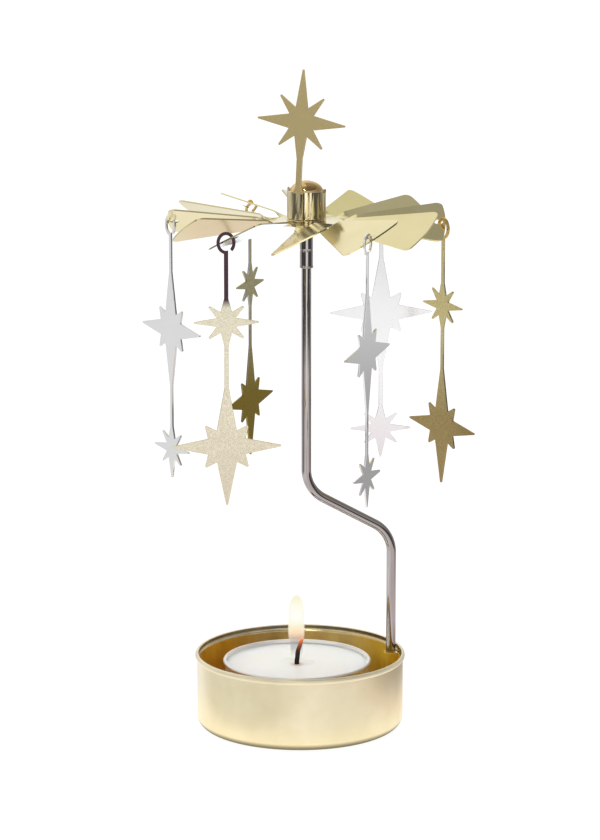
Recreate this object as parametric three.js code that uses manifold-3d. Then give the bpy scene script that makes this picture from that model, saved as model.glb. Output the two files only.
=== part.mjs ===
// Candle carousel, in millimetres, +Z up, origin at the middle of the dish's flat bottom.
// A tealight in a drawn dish warms the air under a twelve-blade rotor. The rotor turns on a needle at the top
// of a bent wire and carries six flat star charms, each hooked through a hole in every other blade.
import * as THREE from "three";
import { mergeVertices } from "three/addons/utils/BufferGeometryUtils.js";
import Module from "manifold-3d";

// Fits
const restGap = 0.3; // between a piece and the piece that it rests on
const slipGap = 0.15; // round a piece that slides into another
const cutOverrun = 1; // how far a cut runs past the face that it enters by

// Dish: a deep-drawn cup with a beaded rim and a flat bottom
const dishRadius = 27.3; // over the bead
const dishHeight = 19.2;
const dishSheet = 0.6;
const dishCorner = 2.6; // outside radius between wall and bottom
const beadHeight = 1.5;
const beadProud = 0.5; // how far the bead stands out from the wall

// Wire socket: a strip of the dish's wall, cut above and below and pressed inwards round the wire
const socketHeight = 4.2;
const socketDrop = 2; // from the dish's rim down to the socket's upper edge
const socketSheet = 0.45; // the pressed strip is drawn thinner than the wall

// Wire stand: one bent rod, from the socket up beside the flame, in over it and up the middle
const wireDiameter = 2.5;
const wireBend = 9; // radius of both bends, to the middle of the wire
const wireTurn = THREE.MathUtils.degToRad(60.7); // how far each bend turns
const wireAzimuth = THREE.MathUtils.degToRad(16);
const wireShoulder = 67.6; // height at which the upright middle run begins
const mastOffset = 1.7; // from the dish's middle to the upright run, towards the wire's foot
const wireBelowSocket = 0.8;

// Pivot: a sleeve crimped on the wire's end, which holds a needle
const sleeveDiameter = 3.5;
const sleeveBelowRotor = 11.9;
const sleeveAboveRotor = 3;
const sleeveGrip = 8.9; // length of wire inside the sleeve
const crimpHeight = 4.6; // of the crimp line above the sleeve's lower end
const crimpWidth = 0.5;
const crimpDepth = 0.12;
const needleDiameter = 1.2;
const needlePoint = 3; // length of the ground point
const needleTip = 0.1; // radius of the blunted point

// Rotor: one disc of thin sheet, slit into blades that are each turned about their own middle line
const rotorHeight = 132; // of the sheet's middle plane
const rotorRadius = 35.3;
const rotorSheet = 0.4;
const bladeCount = 12;
const bladePitch = THREE.MathUtils.degToRad(26.5);
const bladePhase = THREE.MathUtils.degToRad(-2); // azimuth of the first blade
const bladeCorner = 1.7; // radius of the outer corners
const slitWidth = 0.7;
const slitStart = 9.5; // radius at which the slits end
const neckLength = 3.6; // of the twist between the flat middle and a turned blade
const hookHoleRadius = 1.2;
const hookHoleInset = 1.8; // from the blade's outer edge to the hole's middle

// Hub cap: a domed cap whose flange and crimped foot grip the rotor, and whose dome rides on the needle
const capRadius = 4.4;
const capSheet = 0.4;
const capStraight = 7.2; // height of the straight side above the rotor
const capRise = 10.5; // height of the dome's top above the rotor
const capFlange = 5.05; // radius of the flange above the sheet
const capFoot = 4.95; // radius of the crimped foot under it

// Star topper: a flat star and its stem, on a band rolled round the hub cap
const topperSheet = 0.4;
const topperAzimuth = THREE.MathUtils.degToRad(244); // the way the star faces
const bandHeight = 7.1;
const bandGap = THREE.MathUtils.degToRad(50); // opening of the rolled band, behind the stem
const earWidth = 1.6;
const earHeight = 0.6;
const earLean = THREE.MathUtils.degToRad(32); // outward lean of the band's two pointed ears
const earAngle = THREE.MathUtils.degToRad(90); // from the stem to each ear
const earSink = 0.5; // how far an ear's root runs down the band
const stemWidth = 1.6;
const stemFoot = 1.5; // height of the stem's spread at the band
const stemFootSpread = 0.6; // how much the stem spreads there on each side
const topStarReach = 12.2; // from the star's middle to a side tip
const topStarRise = 13.2; // to its top tip
const topStarTaper = 9.4; // to where the lower ray has become the stem
const topStarHeight = 25.8; // of the star's middle above the rotor
const topStarLean = THREE.MathUtils.degToRad(2.8); // sideways lean of the star and its stem

// Charms: flat stamped strings of two stars with an open hook ring, gold ones and silver ones
const charmSheet = 0.5;
const charmStem = 1.05;
const charmLength = 68.6; // from the top of the ring to the lowest tip
const charmTurn = THREE.MathUtils.degToRad(-53); // of a charm's plane from its blade's middle line
const ringWidth = 4.7;
const ringHeight = 5.5;
const ringBand = 0.8;
const ringOpenEnd = THREE.MathUtils.degToRad(230); // where the ring's free end stops
const ringGap = 0.55; // between the ring's arch and the edge of the sheet that it hangs on
const starSpacing = 31.2; // between the middles of a charm's two stars
const bigStarReach = 13.45;
const bigStarRise = 14.9;
const smallStarReach = 7.95;
const smallStarRise = 7.8;
const smallStarTaper = 5.9; // length of a small star's ray where it runs into the stem
const rayTip = 0.22; // half the width of a ray's blunt tip

// Tealight: a thin cup, the wax, and a wick in its own small tab
const tealightOffset = 0.8; // how far it stands from the dish's middle, away from the wire
const cupRadius = 19.25; // over the lip
const cupHeight = 16.4;
const cupSheet = 0.3;
const cupLip = 0.5; // how far the lip stands out, and half its height
const cupTaper = 0.4; // how much narrower the bottom is
const waxBelowLip = 0.8;
const waxMeniscus = 0.35; // how high the wax creeps up the cup
const waxCreep = 1; // how far in from the cup it starts to rise
const waxPool = 4.5; // radius of the hollow round the wick
const waxPoolDepth = 0.3;
const tabRadius = 6;
const tabSheet = 0.3;
const tabNeckRadius = 1.15;
const tabNeckHeight = 4;
const wickDiameter = 1.3;
const wickAboveWax = 6.4;
const wickLean = 1.4; // how far the wick's tip leans over
const wickAzimuth = THREE.MathUtils.degToRad(5);

// One quarter of a star, as shares of the reach and the rise: upper notch, diagonal tip and side notch
const bigStarShares = { upper: [0.186, 0.268], tip: [0.394, 0.349], side: [0.349, 0.134] };
const smallStarShares = { upper: [0.176, 0.333], tip: [0.541, 0.513], side: [0.296, 0.141] };
const topStarShares = { upper: [0.141, 0.274], tip: [0.497, 0.481], side: [0.279, 0.141] };

// Facets
const dishFacets = 64;
const cupFacets = 40;
const hubFacets = 28;
const wireFacets = 12;
const bendSteps = 7;
const bladeColumns = 4;
const neckSteps = 4;
const spanSteps = 2;
const cornerSteps = 3;
const ringSteps = 14;
const holeFacets = 16;
const domeSteps = 5;
const cornerArcSteps = 4;
const beadSteps = 7;
const socketSteps = 10;
const meniscusSteps = 3;

const wasm = await Module();
wasm.setup();

// Finishes
function finish(color, roughness, metalness) {
  return new THREE.MeshStandardMaterial({ color, roughness, metalness });
}

const finishes = {
  dish: finish(0xe3d5ac, 0.28, 1),
  wire: finish(0xb9b4b2, 0.12, 1),
  sheetBrass: finish(0xd9c78f, 0.14, 1),
  hubBrass: finish(0xcda95c, 0.1, 1),
  gold: finish(0xcdbb85, 0.18, 1),
  silver: finish(0xc9c9c9, 0.16, 1),
  aluminium: finish(0xd4d6d8, 0.3, 1),
  wax: finish(0xf4f4ef, 0.45, 0),
  wick: finish(0x2a1a14, 0.95, 0),
};

// Turns a closed geometry into a solid that can be joined and cut.
function toSolid(geometry) {
  const bare = geometry.clone();
  bare.deleteAttribute("normal");
  bare.deleteAttribute("uv");
  const merged = mergeVertices(bare);
  return new wasm.Manifold(
    new wasm.Mesh({
      numProp: 3,
      vertProperties: merged.attributes.position.array,
      triVerts: new Uint32Array(merged.index.array),
    }),
  );
}

// Turns a solid back into a geometry.
function toGeometry(solid) {
  const mesh = solid.getMesh();
  const geometry = new THREE.BufferGeometry();
  geometry.setAttribute("position", new THREE.BufferAttribute(new Float32Array(mesh.vertProperties), 3));
  geometry.setIndex(new THREE.BufferAttribute(new Uint32Array(mesh.triVerts), 1));
  geometry.computeVertexNormals();
  return geometry;
}

// Points along an ellipse's arc, both ends included.
function arc(centreX, centreY, radiusX, radiusY, from, to, steps) {
  return Array.from({ length: steps + 1 }, (_, i) => {
    const angle = THREE.MathUtils.lerp(from, to, i / steps);
    return new THREE.Vector2(centreX + radiusX * Math.cos(angle), centreY + radiusY * Math.sin(angle));
  });
}

// A body of revolution about Z, from a profile of radius and height that has its material on the left.
function revolve(profile, facets) {
  return new THREE.LatheGeometry(profile, facets).rotateX(Math.PI / 2);
}

// A flat piece that stands upright: the outline's x runs along X and its y up Z, with the sheet centred on Y.
function uprightSheet(outline, thickness) {
  return new THREE.ExtrudeGeometry(new THREE.Shape(outline), { depth: thickness, bevelEnabled: false })
    .translate(0, 0, -thickness / 2)
    .rotateX(Math.PI / 2);
}

// A centre line with its stations given one by one, so that straight runs take few and bends take many.
class StationCurve extends THREE.Curve {
  constructor(stations) {
    super();
    this.stations = stations;
  }
  getPointAt(share) {
    return this.stations[Math.round(share * (this.stations.length - 1))].clone();
  }
  getTangentAt(share) {
    const i = Math.round(share * (this.stations.length - 1));
    const before = this.stations[Math.max(i - 1, 0)];
    const after = this.stations[Math.min(i + 1, this.stations.length - 1)];
    const arriving = this.stations[i].clone().sub(before).normalize();
    const leaving = after.clone().sub(this.stations[i]).normalize();
    return arriving.add(leaving).normalize();
  }
}

// A round rod along stations.
function rod(stations, radius, facets) {
  const section = new THREE.Shape(arc(0, 0, radius, radius, 0, 2 * Math.PI, facets).slice(0, -1));
  return new THREE.ExtrudeGeometry(section, {
    steps: stations.length - 1,
    extrudePath: new StationCurve(stations),
  });
}

// A closed sheet from a flat triangulated outline. bend moves each flat point, at a height across the sheet.
function thickSheet(points, triangles, thickness, bend) {
  const corners = [];
  const openEdges = new Map();
  const top = points.map((p) => bend(p, thickness / 2));
  const bottom = points.map((p) => bend(p, -thickness / 2));
  const put = (...three) => three.forEach((p) => corners.push(p.x, p.y, p.z));
  for (const [a, b, c] of triangles) {
    put(top[a], top[b], top[c]);
    put(bottom[a], bottom[c], bottom[b]);
    for (const [from, to] of [[a, b], [b, c], [c, a]]) {
      const shared = openEdges.delete(`${to},${from}`);
      if (!shared) openEdges.set(`${from},${to}`, [from, to]);
    }
  }
  for (const [from, to] of openEdges.values()) {
    put(top[from], bottom[from], bottom[to]);
    put(top[from], bottom[to], top[to]);
  }
  const geometry = new THREE.BufferGeometry();
  geometry.setAttribute("position", new THREE.Float32BufferAttribute(corners, 3));
  return geometry;
}

function mesh(name, geometry, material) {
  const made = new THREE.Mesh(geometry, material);
  made.name = name;
  return made;
}

// Dish
const dishWallRadius = dishRadius - beadProud;
const dishInside = dishWallRadius - dishSheet;
const wireRadius = wireDiameter / 2;
const wireFoot = dishInside - slipGap - wireRadius; // distance of the wire's lower run from the middle
const socketTop = dishHeight - socketDrop;
const socketBottom = socketTop - socketHeight;

function dishBody() {
  const beadHalf = (dishSheet + beadProud) / 2; // half the bead's width
  const beadX = dishRadius - beadHalf;
  const beadZ = dishHeight - beadHeight / 2;
  const beadFrom = -Math.acos((dishWallRadius - beadX) / beadHalf);
  const cornerX = dishWallRadius - dishCorner;
  const inside = dishCorner - dishSheet;
  return revolve(
    [
      new THREE.Vector2(0, 0),
      ...arc(cornerX, dishCorner, dishCorner, dishCorner, -Math.PI / 2, 0, cornerArcSteps),
      ...arc(beadX, beadZ, beadHalf, beadHeight / 2, beadFrom, Math.PI, beadSteps),
      ...arc(cornerX, dishCorner, inside, inside, 0, -Math.PI / 2, cornerArcSteps),
      new THREE.Vector2(0, dishSheet),
    ],
    dishFacets,
  );
}

// The pressed strip, seen from above as a U round the wire whose legs end inside the dish's wall.
function socketStrip() {
  const inner = wireRadius + slipGap;
  const outer = inner + socketSheet;
  const legEnd = dishInside + dishSheet / 2;
  const outline = [
    new THREE.Vector2(legEnd, outer),
    ...arc(wireFoot, 0, outer, outer, Math.PI / 2, (3 * Math.PI) / 2, socketSteps),
    new THREE.Vector2(legEnd, -outer),
    new THREE.Vector2(legEnd, -inner),
    ...arc(wireFoot, 0, inner, inner, (3 * Math.PI) / 2, Math.PI / 2, socketSteps),
    new THREE.Vector2(legEnd, inner),
  ];
  return new THREE.ExtrudeGeometry(new THREE.Shape(outline), { depth: socketHeight, bevelEnabled: false })
    .translate(0, 0, socketBottom)
    .rotateZ(wireAzimuth);
}

// The window that the strip leaves in the wall.
function socketWindow() {
  const depth = dishSheet + 2 * slipGap + cutOverrun;
  return new THREE.BoxGeometry(depth, wireDiameter + 2 * slipGap, socketHeight)
    .translate(dishInside - slipGap + depth / 2, 0, socketBottom + socketHeight / 2)
    .rotateZ(wireAzimuth);
}

function dish() {
  const pressed = toSolid(dishBody()).subtract(toSolid(socketWindow())).add(toSolid(socketStrip()));
  return mesh("dish", toGeometry(pressed), finishes.dish);
}

// Wire stand
const sleeveBottom = rotorHeight - sleeveBelowRotor;
const wireTop = sleeveBottom + sleeveGrip;

function wireStand() {
  const slant = (wireFoot - mastOffset - 2 * wireBend * (1 - Math.cos(wireTurn))) / Math.sin(wireTurn);
  const fall = 2 * wireBend * Math.sin(wireTurn) + slant * Math.cos(wireTurn);
  const bend = (x, z, from, to) => arc(x, z, wireBend, wireBend, from, to, bendSteps);
  const outer = bend(wireFoot - wireBend, wireShoulder - fall, 0, wireTurn);
  const inner = bend(mastOffset + wireBend, wireShoulder, Math.PI + wireTurn, Math.PI);
  const line = [
    new THREE.Vector2(wireFoot, socketBottom - wireBelowSocket),
    ...outer,
    ...inner,
    new THREE.Vector2(mastOffset, wireTop),
  ];
  const stations = line.map((p) => new THREE.Vector3(p.x, 0, p.y));
  return mesh("wire_stand", rod(stations, wireRadius, wireFacets).rotateZ(wireAzimuth), finishes.wire);
}

// Pivot sleeve and needle
const sleeveTop = rotorHeight + sleeveAboveRotor;
const needleRadius = needleDiameter / 2;
const needleFoot = wireTop + restGap;
const capInnerTop = rotorHeight + capRise - capSheet;

function pivotSleeve() {
  const outer = sleeveDiameter / 2;
  const wireBore = wireRadius + slipGap;
  const needleBore = needleRadius + slipGap;
  const crimp = sleeveBottom + crimpHeight;
  return mesh(
    "pivot_sleeve",
    revolve(
      [
        new THREE.Vector2(wireBore, sleeveBottom),
        new THREE.Vector2(outer, sleeveBottom),
        new THREE.Vector2(outer, crimp - crimpWidth / 2),
        new THREE.Vector2(outer - crimpDepth, crimp),
        new THREE.Vector2(outer, crimp + crimpWidth / 2),
        new THREE.Vector2(outer, sleeveTop),
        new THREE.Vector2(needleBore, sleeveTop),
        new THREE.Vector2(needleBore, wireTop + slipGap),
        new THREE.Vector2(wireBore, wireTop + slipGap),
        new THREE.Vector2(wireBore, sleeveBottom),
      ],
      hubFacets,
    ),
    finishes.wire,
  );
}

function pivotNeedle() {
  const tip = capInnerTop - restGap;
  return mesh(
    "pivot_needle",
    revolve(
      [
        new THREE.Vector2(0, needleFoot),
        new THREE.Vector2(needleRadius, needleFoot),
        new THREE.Vector2(needleRadius, tip - needlePoint),
        new THREE.Vector2(needleTip, tip),
        new THREE.Vector2(0, tip),
      ],
      holeFacets,
    ),
    finishes.wire,
  );
}

// Rotor
const bladeStep = (2 * Math.PI) / bladeCount;
const hubHole = capRadius + slipGap;

// Half the angle that a blade spans at a radius: an even slit on each side, and rounded outer corners.
function bladeHalfAngle(radius) {
  const fromSlits = bladeStep / 2 - Math.asin(slitWidth / 2 / Math.min(radius, rotorRadius - bladeCorner));
  const intoCorner = radius - (rotorRadius - bladeCorner);
  if (intoCorner <= 0) return fromSlits;
  const rounded = bladeCorner - Math.sqrt(Math.max(bladeCorner ** 2 - intoCorner ** 2, 0));
  return fromSlits - rounded / radius;
}

function bladeRadii() {
  const cornerFrom = rotorRadius - bladeCorner;
  const neckTo = slitStart + neckLength;
  const row = (from, to, steps) => Array.from({ length: steps }, (_, i) => from + ((to - from) * i) / steps);
  const corner = arc(cornerFrom, 0, bladeCorner, bladeCorner, -Math.PI / 2, 0, cornerSteps).map((p) => p.x);
  return [...row(slitStart, neckTo, neckSteps), ...row(neckTo, cornerFrom, spanSteps), ...corner];
}

// Turns a flat point about its blade's middle line, smoothly from nothing at the disc to the full pitch.
function turnBlade(point, height) {
  const radius = Math.hypot(point.x, point.y);
  const blade = Math.round((Math.atan2(point.y, point.x) - bladePhase) / bladeStep) * bladeStep + bladePhase;
  const turn = bladePitch * THREE.MathUtils.smoothstep(radius, slitStart, slitStart + neckLength);
  const along = point.x * Math.cos(blade) + point.y * Math.sin(blade);
  const across = point.y * Math.cos(blade) - point.x * Math.sin(blade);
  const placed = new THREE.Vector3(
    along,
    across * Math.cos(turn) - height * Math.sin(turn),
    across * Math.sin(turn) + height * Math.cos(turn),
  );
  return placed.applyAxisAngle(new THREE.Vector3(0, 0, 1), blade);
}

// The stamped disc before it is turned: a flat middle round the hub's hole, and the blades that leave it.
function rotorBlank() {
  const points = [];
  const triangles = [];
  const rows = [hubHole, ...bladeRadii()];
  const columns = bladeColumns + 1;
  const index = (blade, row, column) => ((blade % bladeCount) * rows.length + row) * columns + column;
  const quad = (a, b, c, d) => triangles.push([a, b, c], [a, c, d]);
  for (let blade = 0; blade < bladeCount; blade += 1) {
    rows.forEach((radius, row) => {
      const half = bladeHalfAngle(Math.max(radius, slitStart));
      for (let column = 0; column < columns; column += 1) {
        const angle = bladePhase + blade * bladeStep + half * ((2 * column) / bladeColumns - 1);
        points.push(new THREE.Vector2(radius * Math.cos(angle), radius * Math.sin(angle)));
        if (row === 0 || column === 0) continue;
        quad(
          index(blade, row - 1, column - 1),
          index(blade, row, column - 1),
          index(blade, row, column),
          index(blade, row - 1, column),
        );
      }
    });
    quad(
      index(blade, 0, bladeColumns),
      index(blade, 1, bladeColumns),
      index(blade + 1, 1, 0),
      index(blade + 1, 0, 0),
    );
  }
  return { points, triangles };
}

function rotor() {
  const blank = rotorBlank();
  let sheet = toSolid(thickSheet(blank.points, blank.triangles, rotorSheet, turnBlade));
  const depth = rotorSheet + 2 * cutOverrun;
  const drill = new THREE.CylinderGeometry(hookHoleRadius, hookHoleRadius, depth, holeFacets)
    .rotateX(Math.PI / 2)
    .rotateX(bladePitch)
    .translate(rotorRadius - hookHoleInset, 0, 0);
  for (let blade = 0; blade < bladeCount; blade += 2) {
    sheet = sheet.subtract(toSolid(drill.clone().rotateZ(bladePhase + blade * bladeStep)));
  }
  return mesh("rotor", toGeometry(sheet), finishes.sheetBrass);
}

// Hub cap
const flangeNear = rotorSheet / 2 + slipGap; // from the sheet's middle plane to the flange or the foot
const flangeFar = flangeNear + capSheet;

function hubCap() {
  const inside = capRadius - capSheet;
  const dome = capRise - capStraight;
  return mesh(
    "hub_cap",
    revolve(
      [
        ...arc(0, capStraight, inside, dome - capSheet, Math.PI / 2, 0, domeSteps),
        new THREE.Vector2(inside, -flangeFar),
        new THREE.Vector2(capFoot, -flangeFar),
        new THREE.Vector2(capFoot, -flangeNear),
        new THREE.Vector2(capRadius, -flangeNear),
        new THREE.Vector2(capRadius, flangeNear),
        new THREE.Vector2(capFlange, flangeNear),
        new THREE.Vector2(capFlange, flangeFar),
        new THREE.Vector2(capRadius, flangeFar),
        ...arc(0, capStraight, capRadius, dome, 0, Math.PI / 2, domeSteps),
      ],
      hubFacets,
    ),
    finishes.hubBrass,
  );
}

// Star outlines
function star(reach, rise, taper, shares) {
  return { reach, rise, taper, shares };
}

const bigStar = star(bigStarReach, bigStarRise, bigStarRise, bigStarShares);
const smallStar = star(smallStarReach, smallStarRise, smallStarTaper, smallStarShares);
const topStar = star(topStarReach, topStarRise, topStarTaper, topStarShares);

// The end of an upright ray, as half its width there and its length: on a stem, or at the ray's own point.
function onStem({ taper }, stem) {
  return { half: stem / 2, length: taper };
}

function atPoint({ rise }) {
  return { half: rayTip, length: rise };
}

// The right half of a star whose middle is at a height, from its upper ray's end to its lower ray's end.
function starSide(middle, { reach, rise, shares }, upper, lower) {
  const [tipX, tipY] = [reach * shares.tip[0], rise * shares.tip[1]];
  const quarter = [
    [reach * shares.upper[0], rise * shares.upper[1]],
    [tipX - rayTip, tipY + rayTip / 2],
    [tipX + rayTip / 2, tipY - rayTip],
    [reach * shares.side[0], rise * shares.side[1]],
    [reach, rayTip],
  ];
  const half = [...quarter, ...quarter.map(([x, y]) => [x, -y]).reverse()];
  return [[upper.half, upper.length], ...half, [lower.half, -lower.length]].map(
    ([x, y]) => new THREE.Vector2(x, middle + y),
  );
}

// Down the left side, as the mirror image of the right one, and up the right side.
function bothSides(side) {
  const left = side.map((p) => new THREE.Vector2(-p.x, p.y));
  return [...left, ...side.toReversed()];
}

// Star topper
const bandInside = capRadius + slipGap;
const bandFoot = flangeFar + slipGap;

function topperBand() {
  const outside = bandInside + topperSheet;
  const from = bandGap / 2;
  const to = 2 * Math.PI - bandGap / 2;
  const outline = [
    ...arc(0, 0, outside, outside, from, to, hubFacets),
    ...arc(0, 0, bandInside, bandInside, to, from, hubFacets),
  ];
  return new THREE.ExtrudeGeometry(new THREE.Shape(outline), { depth: bandHeight, bevelEnabled: false })
    .translate(0, 0, bandFoot)
    .rotateZ(Math.PI);
}

// A pointed ear at the band's upper edge, leaning outwards.
function topperEar(angle) {
  const outline = [
    new THREE.Vector2(-earWidth / 2, -earSink),
    new THREE.Vector2(earWidth / 2, -earSink),
    new THREE.Vector2(earWidth / 2, 0),
    new THREE.Vector2(0, earHeight),
    new THREE.Vector2(-earWidth / 2, 0),
  ];
  return uprightSheet(outline, topperSheet)
    .rotateZ(Math.PI / 2)
    .rotateY(earLean)
    .translate(bandInside + topperSheet / 2 + earSink * Math.sin(earLean), 0, bandFoot + bandHeight)
    .rotateZ(angle);
}

function topperStar() {
  const half = stemWidth / 2;
  const foot = bandFoot + bandHeight;
  const side = [
    ...starSide(topStarHeight, topStar, atPoint(topStar), onStem(topStar, stemWidth)),
    new THREE.Vector2(half, foot + stemFoot),
    new THREE.Vector2(half + stemFootSpread, foot),
    new THREE.Vector2(half + stemFootSpread, foot - topperSheet),
  ];
  return uprightSheet(bothSides(side), topperSheet)
    .translate(0, 0, -foot)
    .rotateY(topStarLean)
    .rotateZ(Math.PI / 2)
    .translate(bandInside + topperSheet / 2, 0, foot);
}

function starTopper() {
  const joined = toSolid(topperBand())
    .add(toSolid(topperStar()))
    .add(toSolid(topperEar(earAngle)))
    .add(toSolid(topperEar(-earAngle)));
  const made = mesh("star_topper", toGeometry(joined), finishes.gold);
  made.rotation.z = topperAzimuth;
  return made;
}

// Charms
// The hook ring as an open loop, from the stem's outer side round to the free end and back along its inside.
function ringOutline() {
  const [outerX, outerY] = [ringWidth / 2, ringHeight / 2];
  const [innerX, innerY] = [outerX - ringBand, outerY - ringBand];
  const half = charmStem / 2;
  const joinOuter = -Math.acos(half / outerX);
  const joinInner = -Math.PI / 2 - Math.asin(half / innerX);
  return [
    ...arc(0, -outerY, outerX, outerY, joinOuter, ringOpenEnd, ringSteps),
    ...arc(0, -outerY, innerX, innerY, ringOpenEnd, joinInner, ringSteps),
  ];
}

// The whole outline of a charm, hanging down from the top of its ring at zero.
function charmOutline({ upper, lower }) {
  const lowerMiddle = lower.rise - charmLength;
  const upperMiddle = lowerMiddle + starSpacing;
  return [
    ...ringOutline(),
    ...bothSides([
      ...starSide(upperMiddle, upper, onStem(upper, charmStem), onStem(upper, charmStem)),
      ...starSide(lowerMiddle, lower, onStem(lower, charmStem), atPoint(lower)),
    ]),
  ];
}

const charmKinds = [
  { name: "gold_charm", upper: smallStar, lower: bigStar, look: finishes.gold },
  { name: "silver_charm", upper: bigStar, lower: smallStar, look: finishes.silver },
];

// Where a charm's ring hangs on its blade: over the strip of sheet between the hook hole and the outer edge.
function ringSeat() {
  const hole = rotorRadius - hookHoleInset;
  const edge = Math.sqrt(rotorRadius ** 2 - (hole * Math.sin(charmTurn)) ** 2) - hole * Math.cos(charmTurn);
  const middle = (hookHoleRadius + edge) / 2;
  const half = (edge - hookHoleRadius) / 2;
  const slope = Math.sin(charmTurn) * Math.tan(bladePitch);
  const stripTop = slope * hookHoleRadius + rotorSheet / 2 / Math.cos(bladePitch);
  const [innerX, innerY] = [ringWidth / 2 - ringBand, ringHeight / 2 - ringBand];
  const arch = innerY * Math.sqrt(Math.max(1 - (half / innerX) ** 2, 0));
  return {
    radial: hole + middle * Math.cos(charmTurn),
    tangential: middle * Math.sin(charmTurn),
    top: stripTop - arch + ringGap + ringHeight / 2,
  };
}

function charm(kind, number) {
  return mesh(`${kind.name}_${number}`, uprightSheet(charmOutline(kind), charmSheet), kind.look);
}

// Tealight
const cupFoot = dishSheet + restGap;
const cupWall = cupRadius - cupLip;
const cupFloor = cupFoot + cupSheet;
const waxTop = cupFoot + cupHeight - waxBelowLip;
const waxLevel = waxTop - waxMeniscus;
const tabFoot = cupFloor + slipGap;
const tabTop = tabFoot + tabSheet;
const tabNeckTop = tabTop + tabNeckHeight;
const wickRadius = wickDiameter / 2;
const wickBore = wickRadius + slipGap;

function tealightCup() {
  const rim = cupFoot + cupHeight;
  return mesh(
    "tealight_cup",
    revolve(
      [
        new THREE.Vector2(0, cupFoot),
        new THREE.Vector2(cupWall - cupTaper - cupSheet, cupFoot),
        new THREE.Vector2(cupWall - cupTaper, cupFloor),
        new THREE.Vector2(cupWall, rim - 2 * cupLip),
        ...arc(cupWall, rim - cupLip, cupLip, cupLip, -Math.PI / 2, Math.PI / 2, cornerArcSteps).slice(1),
        new THREE.Vector2(cupWall - cupSheet, rim),
        new THREE.Vector2(cupWall - cupTaper - cupSheet, cupFloor),
        new THREE.Vector2(0, cupFloor),
      ],
      cupFacets,
    ),
    finishes.aluminium,
  );
}

function candleWax() {
  const wide = cupWall - cupSheet - slipGap;
  const narrow = wide - cupTaper;
  const roundTab = tabRadius + slipGap;
  const roundNeck = tabNeckRadius + slipGap;
  return mesh(
    "candle_wax",
    revolve(
      [
        new THREE.Vector2(roundTab, tabFoot),
        new THREE.Vector2(narrow, tabFoot),
        ...arc(wide - waxCreep, waxTop, waxCreep, waxMeniscus, 0, -Math.PI / 2, meniscusSteps),
        new THREE.Vector2(waxPool, waxLevel),
        new THREE.Vector2(waxPool / 2, waxLevel - waxPoolDepth),
        new THREE.Vector2(wickBore, waxLevel - waxPoolDepth),
        new THREE.Vector2(wickBore, tabNeckTop + slipGap),
        new THREE.Vector2(roundNeck, tabNeckTop + slipGap),
        new THREE.Vector2(roundNeck, tabTop + slipGap),
        new THREE.Vector2(roundTab, tabTop + slipGap),
        new THREE.Vector2(roundTab, tabFoot),
      ],
      cupFacets,
    ),
    finishes.wax,
  );
}

function wickTab() {
  return mesh(
    "wick_tab",
    revolve(
      [
        new THREE.Vector2(0, tabFoot),
        new THREE.Vector2(tabRadius, tabFoot),
        new THREE.Vector2(tabRadius, tabTop),
        new THREE.Vector2(tabNeckRadius, tabTop),
        new THREE.Vector2(tabNeckRadius, tabNeckTop),
        new THREE.Vector2(wickBore, tabNeckTop),
        new THREE.Vector2(wickBore, tabTop),
        new THREE.Vector2(0, tabTop),
      ],
      holeFacets,
    ),
    finishes.aluminium,
  );
}

// The wick stands straight in its tab and the wax, and the burnt end above leans over in a slow curve.
function wick() {
  const stations = [new THREE.Vector3(0, 0, tabTop + slipGap), new THREE.Vector3(0, 0, waxLevel)];
  for (let i = 1; i <= bendSteps; i += 1) {
    const share = i / bendSteps;
    stations.push(new THREE.Vector3(wickLean * share ** 2, 0, waxLevel + wickAboveWax * share));
  }
  return mesh("wick", rod(stations, wickRadius, wireFacets).rotateZ(wickAzimuth), finishes.wick);
}

// Assembly
const carousel = new THREE.Group();
carousel.add(dish(), wireStand());

const tealight = new THREE.Group();
tealight.position.x = -tealightOffset;
tealight.add(tealightCup(), candleWax(), wickTab(), wick());
carousel.add(tealight);

const mast = new THREE.Group();
mast.position.set(mastOffset * Math.cos(wireAzimuth), mastOffset * Math.sin(wireAzimuth), 0);
mast.add(pivotSleeve(), pivotNeedle());
carousel.add(mast);

const turning = new THREE.Group();
turning.position.z = rotorHeight;
turning.add(rotor(), hubCap(), starTopper());
mast.add(turning);

const seat = ringSeat();
for (let blade = 0; blade < bladeCount; blade += 2) {
  const hanger = new THREE.Group();
  hanger.rotation.z = bladePhase + blade * bladeStep;
  const place = blade / 2;
  const hung = charm(charmKinds[place % charmKinds.length], Math.floor(place / charmKinds.length) + 1);
  hung.position.set(seat.radial, seat.tangential, seat.top);
  hung.rotation.z = charmTurn;
  hanger.add(hung);
  turning.add(hanger);
}

export default carousel;
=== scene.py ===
"""Looks of the candle carousel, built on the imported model's frame. Lengths are in millimetres unless said."""

import math

import bmesh
import bpy
from mathutils import Matrix, Vector

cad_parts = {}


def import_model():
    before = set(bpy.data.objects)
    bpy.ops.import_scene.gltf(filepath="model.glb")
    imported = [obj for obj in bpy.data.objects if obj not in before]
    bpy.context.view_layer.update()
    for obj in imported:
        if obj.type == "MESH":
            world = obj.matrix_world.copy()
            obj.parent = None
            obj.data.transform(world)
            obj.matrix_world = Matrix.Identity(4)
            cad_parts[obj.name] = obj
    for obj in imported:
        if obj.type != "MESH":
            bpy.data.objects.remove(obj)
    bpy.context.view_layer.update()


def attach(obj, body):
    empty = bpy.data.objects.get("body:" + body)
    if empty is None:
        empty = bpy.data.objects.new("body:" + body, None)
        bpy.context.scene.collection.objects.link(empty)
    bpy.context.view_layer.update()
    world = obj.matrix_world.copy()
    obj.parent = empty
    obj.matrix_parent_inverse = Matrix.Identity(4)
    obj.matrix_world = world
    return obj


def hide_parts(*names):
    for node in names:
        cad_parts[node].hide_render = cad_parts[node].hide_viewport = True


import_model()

MM = 0.001
TAU = 2 * math.pi
WHITE = (1.0, 1.0, 1.0)

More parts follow.
